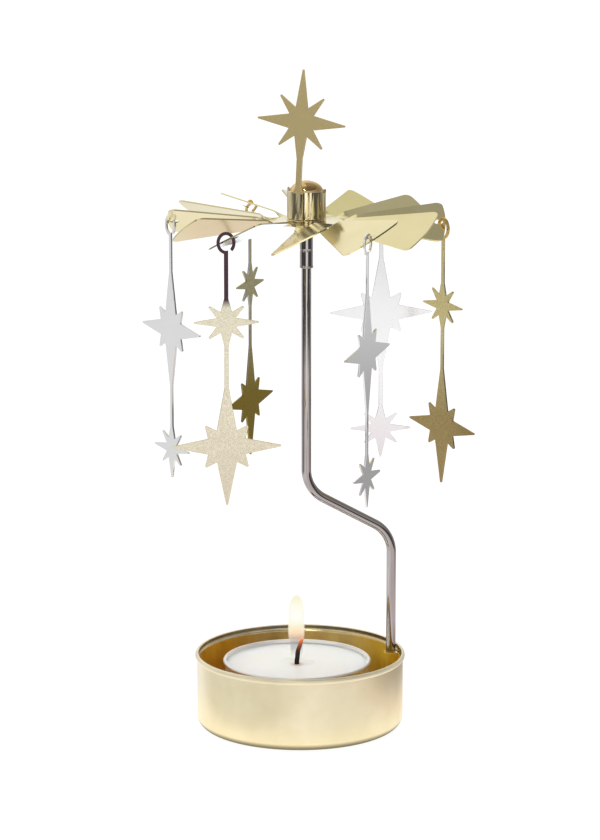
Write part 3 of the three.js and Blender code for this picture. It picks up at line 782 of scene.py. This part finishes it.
def sleeve():
    """The sleeve, with a bead at its foot and a crimped line. Each step is how far in and how far up."""
    bore = WIRE_RADIUS + SLIP_GAP
    narrow = NEEDLE_RADIUS + SLIP_GAP
    foot = ((0.18, 0), (0.05, 0.05), (0, 0.18), (0, 0.5), (0.06, 0.62), (0.06, 0.75))
    crimp = ((0.06, -0.4), (0.06, -0.3), (0.12, -0.12), (0.14, 0), (0.12, 0.12), (0.06, 0.3), (0.06, 0.4))
    top = ((0.06, -0.4), (0.06, -0.25), (0.25, 0))
    profile = [(bore, SLEEVE_BOTTOM)]
    for height, steps in ((SLEEVE_BOTTOM, foot), (CRIMP_LINE, crimp), (SLEEVE_TOP, top)):
        profile += [(SLEEVE_RADIUS - into, height + up) for into, up in steps]
    profile += [(narrow, SLEEVE_TOP), (narrow, WIRE_TOP + SLIP_GAP), (bore, WIRE_TOP + SLIP_GAP)]
    piece = lathe("mast_sleeve", profile, 96, move(*MAST))
    return dress(smooth(piece, 30), "base", "wire", "wire", replaces=["pivot_sleeve"])


def needle():
    foot = WIRE_TOP + REST_GAP
    tip = ROTOR_HEIGHT + CAP_RISE - CAP_SHEET - REST_GAP
    profile = [
        (0, foot), (NEEDLE_RADIUS - 0.1, foot), (NEEDLE_RADIUS, foot + 0.1),
        (NEEDLE_RADIUS, tip - NEEDLE_POINT), (0.3, tip - 1.1), (0.12, tip - 0.1), (0.06, tip), (0, tip),
    ]
    piece = lathe("pivot_pin", profile, 48, move(*MAST))
    return dress(smooth(piece), "base", "wire", "wire", replaces=["pivot_needle"])


# Rotor
def blade_half_angle(radius):
    """Half the angle that a blade takes up at a radius, less near the rounded outer corners."""
    half = BLADE_STEP / 2 - math.asin(SLIT_WIDTH / 2 / min(radius, BLADE_STRAIGHT))
    into = radius - BLADE_STRAIGHT
    if into <= 0:
        return half
    return half - (BLADE_CORNER - math.sqrt(max(BLADE_CORNER**2 - into**2, 0))) / radius


def turned(x, y, height):
    """Where a point of the flat disc goes when its blade is turned about its middle line."""
    radius = math.hypot(x, y)
    blade = round((math.atan2(y, x) - BLADE_PHASE) / BLADE_STEP) * BLADE_STEP + BLADE_PHASE
    share = min(max((radius - SLIT_START) / NECK_LENGTH, 0), 1)
    pitch = BLADE_PITCH * share * share * (3 - 2 * share)
    cos, sin = math.cos(blade), math.sin(blade)
    along = x * cos + y * sin
    across = y * cos - x * sin
    side = across * math.cos(pitch) - height * math.sin(pitch)
    rise = across * math.sin(pitch) + height * math.cos(pitch)
    return (along * cos - side * sin, along * sin + side * cos, rise)


def rotor_rows():
    """Radii of the rotor's rows of points, closest where the necks twist and the corners turn."""
    neck, vane, corner = 14, 6, 10
    rows = [CAP_RADIUS + SLIP_GAP, 7.0]
    rows += [SLIT_START + NECK_LENGTH * i / neck for i in range(neck)]
    rows += [NECK_END + (BLADE_STRAIGHT - NECK_END) * i / vane for i in range(vane)]
    rows += [BLADE_STRAIGHT + BLADE_CORNER * math.sin(math.pi / 2 * i / corner) for i in range(corner + 1)]
    return rows


def rotor_grid():
    """Points of the flat disc by blades, and the cells between them. The inner rows join the blades."""
    rows = rotor_rows()
    columns = 11
    last = columns - 1
    flat, cells = [], []

    def index(blade, row, column):
        return ((blade % BLADES) * len(rows) + row) * columns + column

    for blade in range(BLADES):
        for row, radius in enumerate(rows):
            half = blade_half_angle(max(radius, SLIT_START))
            for column in range(columns):
                angle = BLADE_PHASE + blade * BLADE_STEP + half * (2 * column / last - 1)
                flat.append((radius * math.cos(angle), radius * math.sin(angle)))
                if row and column:
                    cells.append([index(blade, row - 1, column - 1), index(blade, row, column - 1),
                                  index(blade, row, column), index(blade, row - 1, column)])
        for row in (1, 2):
            cells.append([index(blade, row - 1, last), index(blade, row, last), index(blade + 1, row, 0),
                          index(blade + 1, row - 1, 0)])
    return flat, cells


def border(cells):
    """The edges that belong to one cell only."""
    edges = {}
    for cell in cells:
        for a, b in zip(cell, cell[1:] + cell[:1]):
            if edges.pop((b, a), None) is None:
                edges[(a, b)] = True
    return edges


def rotor():
    flat, cells = rotor_grid()
    count = len(flat)
    points = [turned(x, y, side * ROTOR_SHEET / 2) for side in (1, -1) for x, y in flat]
    faces = cells + [[count + i for i in reversed(cell)] for cell in cells]
    faces += [[b, a, count + a, count + b] for a, b in border(cells)]
    piece = build("rotor_sheet", points, faces, move(*ROTOR))
    for blade in range(0, BLADES, 2):
        place = move(*ROTOR) @ turn(BLADE_PHASE + blade * BLADE_STEP)
        place = place @ move(ROTOR_RADIUS - HOOK_INSET, 0, 0) @ turn(BLADE_PITCH, "X")
        cut(piece, lathe("drill", [(0, -2), (HOOK_RADIUS, -2), (HOOK_RADIUS, 2), (0, 2)], 40, place))
    piece = smooth(bevelled(piece, STAR_EDGE, 60), FLAT)
    return dress(piece, "rotor", "sheet_brass", "sheet", replaces=["rotor"])


# Hub cap
def hub():
    """The cap. Its profile runs down inside the dome, round the crimped foot and flange, and over it."""
    near = ROTOR_SHEET / 2 + SLIP_GAP
    far = near + CAP_SHEET
    inside, rise = CAP_RADIUS - CAP_SHEET, CAP_RISE - CAP_STRAIGHT
    under = arc(0, CAP_STRAIGHT, inside, rise - CAP_SHEET, math.pi / 2, 0, 20)
    collar = [
        (inside, -far), (CAP_FOOT - CAP_ROUND, -far), (CAP_FOOT, -far + CAP_ROUND),
        (CAP_FOOT, -near - CAP_ROUND), (CAP_FOOT - CAP_ROUND, -near), (CAP_RADIUS, -near), (CAP_RADIUS, near),
        (CAP_FLANGE - CAP_ROUND, near), (CAP_FLANGE, near + CAP_ROUND), (CAP_FLANGE, far - CAP_ROUND),
        (CAP_FLANGE - CAP_ROUND, far), (CAP_RADIUS + CAP_ROUND, far), (CAP_RADIUS, far + CAP_ROUND),
    ]
    over = arc(0, CAP_STRAIGHT, CAP_RADIUS, rise, 0, math.pi / 2, 20)
    bands = [0] * len(under) + [1] * (len(collar) - 2) + [0] * (len(over) + 2)
    piece = lathe("hub_dome", under + collar + over, 96, move(*ROTOR), bands)
    return dress(smooth(piece, TURNED), "rotor", "hub_brass", "dome", "collar", replaces=["hub_cap"])


# Stars
def star_side(middle, star, upper, lower):
    """The right side of a star's outline from top to bottom. upper and lower are where its long rays end."""
    reach, rise = star["reach"], star["rise"]
    tip_x, tip_y = reach * star["tip"][0], rise * star["tip"][1]
    quarter = [
        (reach * star["upper"][0], rise * star["upper"][1]),
        (tip_x - RAY_TIP, tip_y + RAY_TIP / 2),
        (tip_x + RAY_TIP / 2, tip_y - RAY_TIP),
        (reach * star["side"][0], rise * star["side"][1]),
        (reach, RAY_TIP),
    ]
    half = quarter + [(x, -y) for x, y in reversed(quarter)]
    return [(x, middle + y) for x, y in [upper] + half + [(lower[0], -lower[1])]]


def both_sides(side):
    return [(-x, y) for x, y in side] + side[::-1]


def topper_band(place):
    outer = BAND_RADIUS + TOPPER_SHEET
    half_gap = BAND_GAP / 2
    outline = arc(0, 0, outer, outer, half_gap, TAU - half_gap, 120)
    outline += arc(0, 0, BAND_RADIUS, BAND_RADIUS, TAU - half_gap, half_gap, 120)
    place = place @ turn(math.pi) @ move(0, 0, BAND_FOOT + BAND_HEIGHT / 2) @ LAID_FLAT
    piece = bevelled(plate("topper_band", outline, BAND_HEIGHT, place), BAND_EDGE)
    return dress(smooth(piece, FLAT), "rotor", "gold", "collar")


def topper_ear(name, place, angle):
    half = EAR_WIDTH / 2
    outline = both_sides([(EAR_TIP, EAR_HEIGHT), (half, 0), (half, -EAR_SINK)])
    out = BAND_RADIUS + TOPPER_SHEET / 2 + EAR_SINK * math.sin(EAR_LEAN)
    place = place @ turn(angle) @ move(out, 0, BAND_TOP) @ turn(EAR_LEAN, "Y") @ turn(math.pi / 2)
    piece = bevelled(plate(name, outline, TOPPER_SHEET, place), STAR_EDGE)
    return dress(smooth(piece, FLAT), "rotor", "gold", "collar")


def topper_star(place):
    foot = TOP_STEM + TOP_STEM_SPREAD
    upper, lower = (RAY_TIP, TOP_STAR["rise"]), (TOP_STEM, TOP_STAR["taper"])
    side = star_side(TOP_STAR_HEIGHT - BAND_TOP, TOP_STAR, upper, lower)
    side += [(TOP_STEM, 1.5), (TOP_STEM + TOP_STEM_SPREAD * 0.25, 0.9), (foot, 0), (foot, -TOPPER_SHEET)]
    place = place @ move(BAND_RADIUS + TOPPER_SHEET / 2, 0, BAND_TOP) @ turn(math.pi / 2)
    place = place @ turn(TOP_LEAN, "Y")
    piece = bevelled(plate("topper_plate", both_sides(side), TOPPER_SHEET, place), STAR_EDGE)
    return dress(smooth(piece, FLAT), "rotor", "gold", "topper", replaces=["star_topper"])


def topper():
    place = move(*ROTOR) @ turn(TOPPER_AZIMUTH)
    topper_band(place)
    topper_ear("topper_ear_1", place, math.pi / 2)
    topper_ear("topper_ear_2", place, -math.pi / 2)
    topper_star(place)


def ring_outline():
    """The open hook ring, from the stem's right side round to its left."""
    ox, oy = RING_WIDTH / 2, RING_HEIGHT / 2
    ix, iy = ox - RING_BAND, oy - RING_BAND
    outer = arc(0, -oy, ox, oy, -math.acos(CHARM_STEM / ox), RING_OPEN, 44)
    inner = arc(0, -oy, ix, iy, RING_OPEN, -math.pi / 2 - math.asin(CHARM_STEM / ix), 44)
    return outer + inner


def charm(node, azimuth, upper, lower, look):
    """One charm at its blade's azimuth, with its upper and its lower star."""
    low = lower["rise"] - CHARM_LENGTH
    side = star_side(low + STAR_SPACING, upper, (CHARM_STEM, upper["taper"]), (CHARM_STEM, upper["taper"]))
    side += star_side(low, lower, (CHARM_STEM, lower["taper"]), (RAY_TIP, lower["rise"]))
    cos, sin = math.cos(azimuth), math.sin(azimuth)
    x = MAST.x + CHARM_RADIAL * cos - CHARM_TANGENTIAL * sin
    y = MAST.y + CHARM_RADIAL * sin + CHARM_TANGENTIAL * cos
    place = move(x, y, CHARM_TOP) @ turn(azimuth + CHARM_TURN)
    piece = plate(f"{node}_plate", ring_outline() + both_sides(side), CHARM_SHEET, place)
    piece = smooth(bevelled(piece, CHARM_EDGE, 25), FLAT)
    return dress(piece, node, look.split("_")[0], look, replaces=[node])


def charms():
    """Gold and silver charms by turns, each on a body of its own name."""
    for pair in range(3):
        azimuth = BLADE_PHASE + 4 * pair * BLADE_STEP
        number = pair + 1
        charm(f"gold_charm_{number}", azimuth, SMALL_STAR, BIG_STAR, f"gold_{number}")
        charm(f"silver_charm_{number}", azimuth + 2 * BLADE_STEP, BIG_STAR, SMALL_STAR, "silver")


# Tealight
def cup():
    foot = CUP_WALL - CUP_TAPER
    floor_top = CUP_FOOT + CUP_SHEET
    profile = [(0, CUP_FOOT), (foot - 0.5, CUP_FOOT), (foot - 0.1, CUP_FOOT + 0.12), (foot, CUP_FOOT + 0.5),
               (CUP_WALL, CUP_RIM - 2 * CUP_LIP)]
    profile += arc(CUP_WALL, CUP_RIM - CUP_LIP, CUP_LIP, CUP_LIP, -math.pi / 2, math.pi / 2, 12)[1:]
    profile += [(CUP_WALL - CUP_SHEET + 0.05, CUP_RIM), (CUP_WALL - CUP_SHEET, CUP_RIM - 0.08),
                (foot - CUP_SHEET, floor_top), (0, floor_top)]
    piece = lathe("tealight_foil_cup", profile, 128, move(*CANDLE))
    return dress(smooth(piece, TURNED), "tealight", "aluminium", "aluminium", replaces=["tealight_cup"])


def wax():
    """The wax. Its profile runs over the top to the melted pool, down the wick's bore and round the tab."""
    edge = CUP_WALL - CUP_SHEET - WAX_GAP
    room = TAB_RADIUS + SLIP_GAP
    neck, neck_top = TAB_NECK + SLIP_GAP, TAB_TOP + REST_GAP
    pool = arc(0, WAX_LEVEL, POOL_RADIUS, POOL_DEPTH, 0, -math.pi / 2, 10)[:-1]
    profile = [(room, WAX_FOOT), (edge - CUP_TAPER, WAX_FOOT)]
    profile += arc(edge - WAX_CREEP_WIDTH, WAX_TOP, WAX_CREEP_WIDTH, WAX_CREEP, 0, -math.pi / 2, 8)
    profile += [(12, WAX_LEVEL), (8, WAX_LEVEL)] + [point for point in pool if point[0] > WICK_BORE]
    profile += [(WICK_BORE, WAX_LEVEL - POOL_DEPTH), (WICK_BORE, neck_top), (neck, neck_top),
                (neck, WICK_FOOT), (room, WICK_FOOT)]
    piece = lathe("wax_body", profile, 128, move(*CANDLE))
    return dress(smooth(piece, 30), "tealight", "wax", "wax", replaces=["candle_wax"])


def wick_tab():
    top = WAX_FOOT + TAB_SHEET
    profile = [(0, WAX_FOOT), (TAB_RADIUS, WAX_FOOT), (TAB_RADIUS, top), (TAB_NECK, top),
               (TAB_NECK, TAB_TOP), (WICK_BORE, TAB_TOP), (WICK_BORE, top), (0, top)]
    piece = lathe("wick_foot", profile, 48, move(*CANDLE))
    return dress(smooth(piece), "tealight", "aluminium", "aluminium", replaces=["wick_tab"])


def wick():
    """A burnt cord: twisted strands that lean over and thin out towards the glowing tip."""
    sides, rings = 24, 44
    top = WAX_LEVEL + WICK_RISE
    points = []
    for n in range(rings + 1):
        z = WICK_FOOT + (top - WICK_FOOT) * n / rings
        share = max((z - WAX_LEVEL) / WICK_RISE, 0)
        lean = WICK_LEAN * share**2
        thin = 1 - WICK_THIN * share**3
        for i in range(sides):
            angle = TAU * i / sides
            strand = 1 - STRAND_DEPTH * (1 - math.cos(STRANDS * angle - z * STRAND_TWIST))
            r = WICK_RADIUS * thin * strand
            points.append((lean + r * math.cos(angle), r * math.sin(angle), z))
    foot, tip = len(points), len(points) + 1
    points += [(0, 0, WICK_FOOT), (WICK_LEAN, 0, top)]
    faces = tube_faces(rings + 1, sides)
    for i in range(sides):
        j = (i + 1) % sides
        faces += [[foot, j, i], [tip, rings * sides + i, rings * sides + j]]
    piece = build("wick_cord", points, faces, move(*CANDLE) @ turn(WICK_AZIMUTH))
    return dress(smooth(piece, 60), "tealight", "wick", "wick", replaces=["wick"])


def flame():
    """The flame rides on the tealight and stands for no CAD node."""
    profile = [(r * FLAME_RADIUS, z * FLAME_HEIGHT) for r, z in FLAME_OUTLINE]
    foot = CANDLE + Vector((FLAME_ASIDE, 0, FLAME_FOOT))
    piece = lathe("flame_veil", profile, 64, move(*foot))
    piece.visible_shadow = False
    return dress(smooth(piece, 80), "tealight", None, "flame")


dish()
socket()
wire()
sleeve()
needle()
rotor()
hub()
topper()
charms()
cup()
wax()
wick_tab()
wick()
flame()


# Studio. Bright metal reflects an elliptic lit table top, whose reach to each side is in metres.
TABLE_FRONT = 0.40
TABLE_BACK = 0.25
TABLE_SIDE = 0.20
FLOOR_SIDE = 900
FLOOR_FRONT = 700
FLOOR_BACK = 6000
BACKDROP = (1.05, 1.05, 1.05, 1)

# Brightness round the studio, in belts from the floor up: the two elevations between which a belt takes over
# from the one below it, and its brightness or colour by azimuth, all in degrees
STUDIO = (
    (-90, -90, (
        (-180, 0.25), (-165, 0.25), (-148, 0.50), (-125, 1.00), (-100, 1.20), (-70, 1.20),
        (-48, (1.08, 1.05, 1.0)), (-22, (0.57, 0.53, 0.50)), (11, (0.34, 0.33, 0.32)), (60, 0.36), (78, 0.30),
        (84, (1.25, 1.4, 1.9)), (96, (1.25, 1.4, 1.9)), (103, 0.6), (130, 0.6), (150, 0.76), (168, 0.76),
        (175, 0.40), (180, 0.25),
    )),
    (-10.9, -9.8, (
        (-180, 0.10), (-165, 0.08), (-103, 0.08), (-98, 1.28), (-64, 1.28), (-59, 0.08), (-5, 0.09),
        (15, 0.3), (30, 0.70), (50, 0.70), (62, 0.4), (78, 0.30), (84, 0.95), (96, 0.95), (103, 0.4),
        (125, 0.5), (150, 0.78), (168, 0.78), (175, 0.25), (180, 0.10),
    )),
    (-7.95, -7.85, (
        (-180, 0.20), (-160, 0.10), (-152, 0.50), (-132, 0.50), (-124, 0.08), (-102, 0.08), (-99, 1.40),
        (-85, 1.40), (-82, 0.08), (-73, 0.08), (-70, 1.20), (-61, 1.20), (-57, 0.08), (-5, 0.12), (15, 0.35),
        (30, 0.50), (60, 0.50), (78, 0.30), (84, 1.0), (96, 1.0), (103, 0.5), (125, 0.6), (150, 0.78),
        (165, 0.55), (180, 0.20),
    )),
    (8, 18, (
        (-180, 0.8), (-130, 0.8), (-90, 0.8), (-60, 0.6), (0, 0.3), (45, 0.35), (68, (0.68, 0.68, 0.50)),
        (82, 0.85), (100, 1.0), (150, 1.0), (180, 0.8),
    )),
    (38, 48, (
        (-180, 0.9), (-140, 0.5), (-110, 0.25), (-60, 0.12), (0, 0.12), (40, 0.3), (67, 0.45), (95, 0.8),
        (115, 1.0), (150, 1.0), (180, 0.9),
    )),
    (50.5, 56, (
        (-180, 0.6), (-120, 0.3), (-60, 0.15), (0, 0.2), (60, 0.40), (93, 0.36), (104, 0.9), (130, 0.9),
        (180, 0.6),
    )),
)


def table_color(shader):
    """The table top's brightness: dark under the dish, bright round it, toned at its sides and behind."""
    away = shader.calculate("VectorMath", "LENGTH", shader.coordinates)
    shore = shader.ramp(shader.share(away, 0.026, 0.056), [
        (0.0, (0.3, 0.28, 0.22)), (0.09, (1.2, 1.15, 1.0)), (1.0, WHITE),
    ])
    aside = shader.calculate("VectorMath", "DOT_PRODUCT", shader.coordinates, (1, 0.6, 0))
    sides = shader.ramp(shader.share(aside, -0.09, 0.09), [
        (0.0, (0.88, 0.88, 0.86)), (0.14, (0.90, 0.90, 0.86)), (0.2, (0.88, 0.88, 0.84)),
        (0.28, (1.08, 1.07, 1.08)), (0.42, (1.01, 1.01, 1.02)), (0.66, WHITE),
        (0.8, (0.90, 0.80, 0.74)), (0.86, (0.70, 0.67, 0.64)), (0.96, (0.46, 0.40, 0.36)),
    ])
    behind = shader.ramp(shader.along("X", -24, -8), [(0.0, (1.0, 1.0, 1.03)), (1.0, (0.86, 0.77, 0.78))])
    beside = shader.mix(shader.share(away, 0.085, 0.12), sides, behind)
    return shader.times(shore, beside)


def floor():
    """White to the camera. A reflection sees the lit table top, and beyond it the studio."""
    points = [(x, y, 0) for x in (-FLOOR_SIDE, FLOOR_SIDE) for y in (-FLOOR_FRONT, FLOOR_BACK)]
    piece = build("studio_floor", points, [(0, 2, 3, 1)])
    shader = Shader("studio_floor", (0.15, 0.15, 0.15), 0.0, 0.9)
    shader.drive(Emission_Color=(1, 1, 1, 1), Emission_Strength=0.93)
    table = shader.add("ShaderNodeMapping", {
        "Vector": shader.coordinates,
        "Location": (0, (TABLE_BACK - TABLE_FRONT) / 2, 0),
        "Scale": (TABLE_SIDE, (TABLE_FRONT + TABLE_BACK) / 2, 1),
    }, vector_type="TEXTURE")
    share = shader.calculate("VectorMath", "LENGTH", table.outputs["Vector"])
    glow = shader.add("ShaderNodeEmission", {"Color": table_color(shader)}).outputs["Emission"]
    clear = shader.add("ShaderNodeBsdfTransparent").outputs["BSDF"]
    mirrored = shader.blend(shader.spread(share, 1.0, 0.0, 0.75, 1.15), clear, glow)
    glossy = shader.add("ShaderNodeLightPath").outputs["Is Glossy Ray"]
    shader.show(shader.blend(glossy, shader.bsdf.outputs["BSDF"], mirrored))
    piece.data.materials.append(shader.material)


def belt(stops):
    """A belt's stops as places from 0 to 1 and colours."""
    places = [(angle + 180) / 360 for angle, _ in stops]
    colors = [value if isinstance(value, tuple) else grey(value) for _, value in stops]
    return list(zip(places, colors))


def world():
    """The belts of the studio to every ray but the camera's, which sees a white backdrop."""
    made = bpy.data.worlds.new("studio")
    bpy.context.scene.world = made
    made.use_nodes = True
    made.node_tree.nodes.clear()
    nodes = Nodes(made.node_tree)
    generated = nodes.add("ShaderNodeTexCoord").outputs["Generated"]
    split = nodes.add("ShaderNodeSeparateXYZ", {"Vector": generated})
    angle = nodes.calculate("Math", "ARCTAN2", split.outputs["Y"], split.outputs["X"])
    azimuth = nodes.calculate("Math", "MULTIPLY_ADD", angle, 1 / TAU, 0.5)
    room = nodes.ramp(azimuth, belt(STUDIO[0][2]))
    for low, high, stops in STUDIO[1:]:
        start, end = math.sin(math.radians(low)), math.sin(math.radians(high))
        share = nodes.share(split.outputs["Z"], start, end, interpolation_type="SMOOTHSTEP")
        room = nodes.mix(share, room, nodes.ramp(azimuth, belt(stops)))
    to_camera = nodes.add("ShaderNodeLightPath").outputs["Is Camera Ray"]
    background = nodes.add("ShaderNodeBackground", {"Color": nodes.mix(to_camera, room, BACKDROP)})
    nodes.add("ShaderNodeOutputWorld", {"Surface": background.outputs["Background"]})


def lamp(name, azimuth, elevation, distance, size, power):
    """A round lamp that shines on the rotor, in degrees, metres and watts."""
    toward = (turn(math.radians(azimuth)) @ turn(-math.radians(elevation), "Y")).to_3x3() @ Vector((1, 0, 0))
    data = bpy.data.lights.new(name, "AREA")
    data.shape = "DISK"
    data.size = size
    data.energy = power
    made = link(name, data)
    made.location = ROTOR * MM + distance * toward
    made.rotation_euler = (-toward).to_track_quat("-Z", "Y").to_euler()
    return made


def camera():
    """The photograph's view, with distances in metres. The picture is shifted by a part of its height."""
    elevation = math.radians(11.22)
    distance = 0.812
    target = Vector((0, 0, 0.085))
    picture_height = 840
    target_rise = 16.6
    toward = Vector((0, math.cos(elevation), -math.sin(elevation)))
    data = bpy.data.cameras.new("camera")
    data.sensor_fit = "VERTICAL"
    data.sensor_height = 24
    data.lens = 90.43
    data.shift_y = -target_rise / picture_height
    data.clip_start = 0.01
    data.clip_end = 50
    made = link("camera", data)
    made.location = target - distance * toward
    made.rotation_euler = toward.to_track_quat("-Z", "Y").to_euler()
    bpy.context.scene.camera = made


floor()
world()
lamp("overhead", 60, 62, 1.1, 0.7, 5.0).visible_glossy = False
lamp("bulb_left", -117, 58, 1.2, 0.10, 0.5)
lamp("bulb_right", -104, 50, 1.2, 0.06, 0.3)
camera()
bpy.context.scene.view_settings.view_transform = "Standard"
